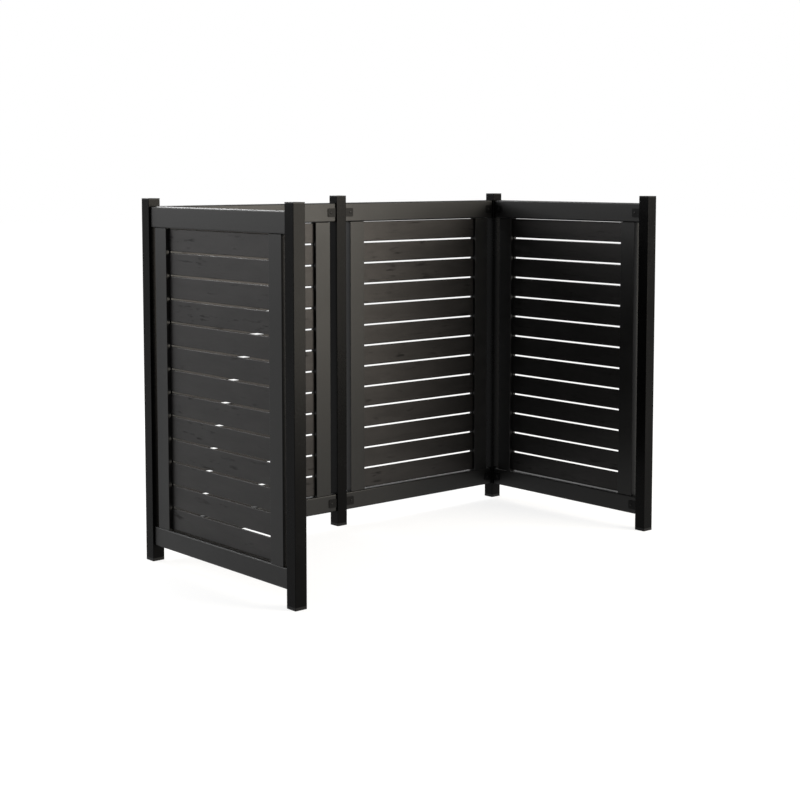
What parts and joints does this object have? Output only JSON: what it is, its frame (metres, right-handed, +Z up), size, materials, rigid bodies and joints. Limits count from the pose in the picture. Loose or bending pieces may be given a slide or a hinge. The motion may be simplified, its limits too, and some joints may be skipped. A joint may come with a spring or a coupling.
{
  "type": "wheelie bin screen",
  "caption": "Free-standing three-sided slatted screen for wheelie bins, square posts with horizontal-slat panels, open at the front and top.",
  "frame": {"origin": "middle of the outline seen from above, on the ground", "axes": "+X along the back wall, +Y from the open front to the back wall, +Z up"},
  "size_m": [1.603, 0.823, 1.2],
  "materials": {
    "post_paint": "semi-gloss black powder coat",
    "frame_paint": "semi-gloss black powder coat",
    "slat_board": "satin black composite board with a faint grain",
    "bracket_paint": "black painted steel",
    "end_plastic": "black moulded plastic"
  },
  "bodies": {
    "root": {"back_left_panel_bottom_inner_bracket": "bracket_paint", "back_left_panel_bottom_outer_bracket": "bracket_paint", "back_left_panel_bottom_rail": "frame_paint", "back_left_panel_inner_stile": "frame_paint", "back_left_panel_outer_stile": "frame_paint", "back_left_panel_slats": "slat_board", "back_left_panel_top_inner_bracket": "bracket_paint", "back_left_panel_top_outer_bracket": "bracket_paint", "back_left_panel_top_rail": "frame_paint", "back_right_panel_bottom_inner_bracket": "bracket_paint", "back_right_panel_bottom_outer_bracket": "bracket_paint", "back_right_panel_bottom_rail": "frame_paint", "back_right_panel_inner_stile": "frame_paint", "back_right_panel_outer_stile": "frame_paint", "back_right_panel_slats": "slat_board", "back_right_panel_top_inner_bracket": "bracket_paint", "back_right_panel_top_outer_bracket": "bracket_paint", "back_right_panel_top_rail": "frame_paint", "cap_back_left": "end_plastic", "cap_back_middle": "end_plastic", "cap_back_right": "end_plastic", "cap_front_left": "end_plastic", "cap_front_right": "end_plastic", "foot_back_left": "end_plastic", "foot_back_middle": "end_plastic", "foot_back_right": "end_plastic", "foot_front_left": "end_plastic", "foot_front_right": "end_plastic", "left_panel_bottom_front_bracket": "bracket_paint", "left_panel_bottom_rail": "frame_paint", "left_panel_bottom_rear_bracket": "bracket_paint", "left_panel_front_stile": "frame_paint", "left_panel_rear_stile": "frame_paint", "left_panel_slats": "slat_board", "left_panel_top_front_bracket": "bracket_paint", "left_panel_top_rail": "frame_paint", "left_panel_top_rear_bracket": "bracket_paint", "post_back_left": "post_paint", "post_back_middle": "post_paint", "post_back_right": "post_paint", "post_front_left": "post_paint", "post_front_right": "post_paint", "right_panel_bottom_front_bracket": "bracket_paint", "right_panel_bottom_rail": "frame_paint", "right_panel_bottom_rear_bracket": "bracket_paint", "right_panel_front_stile": "frame_paint", "right_panel_rear_stile": "frame_paint", "right_panel_slats": "slat_board", "right_panel_top_front_bracket": "bracket_paint", "right_panel_top_rail": "frame_paint", "right_panel_top_rear_bracket": "bracket_paint"}
  },
  "joints": []
}
